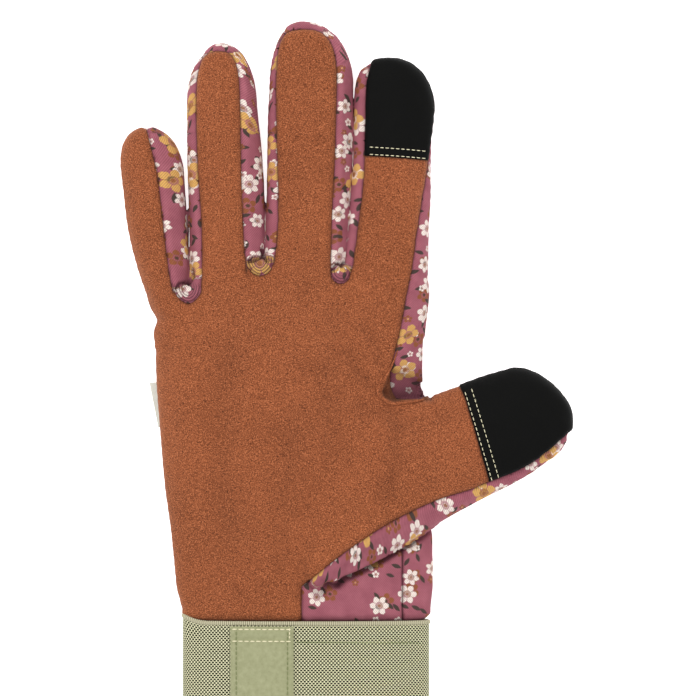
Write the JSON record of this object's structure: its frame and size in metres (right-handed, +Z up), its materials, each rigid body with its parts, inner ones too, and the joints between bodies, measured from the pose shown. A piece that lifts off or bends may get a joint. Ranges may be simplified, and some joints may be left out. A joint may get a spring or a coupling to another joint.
{
  "type": "gardening glove",
  "caption": "Right-hand gardening glove lying palm up, with a suede palm, flowered twill back, black touch fingertips and an elastic cuff.",
  "frame": {"origin": "on the table, under the middle of the wrist seam, on the cuff's flat underside", "axes": "+Z up out of the palm, +Y towards the fingertips, +X towards the thumb"},
  "size_m": [0.1551, 0.2678, 0.0221],
  "materials": {
    "suede": "napped suede, rust brown with a fine speckle",
    "flowered_twill": "fine cotton twill, dusty mauve pink with small scattered flowers",
    "touch_patch": "smooth matt black with two rows of cream stitches",
    "elastic_knit": "sage green elastic knit with an open mesh texture",
    "cuff_strip": "plain sage brushed strip with tonal stitching",
    "label_tape": "blank pale tape"
  },
  "bodies": {
    "root": {"palm_panel": "suede", "hand_back": "flowered_twill", "fourchette_little_ring": "flowered_twill", "fourchette_ring_middle": "flowered_twill", "fourchette_middle_index": "flowered_twill", "thumb_back": "flowered_twill", "thumb_gusset": "flowered_twill", "index_tip_patch": "touch_patch", "thumb_tip_patch": "touch_patch", "cuff": "elastic_knit", "cuff_tab": "cuff_strip", "side_label": "label_tape"}
  },
  "joints": []
}
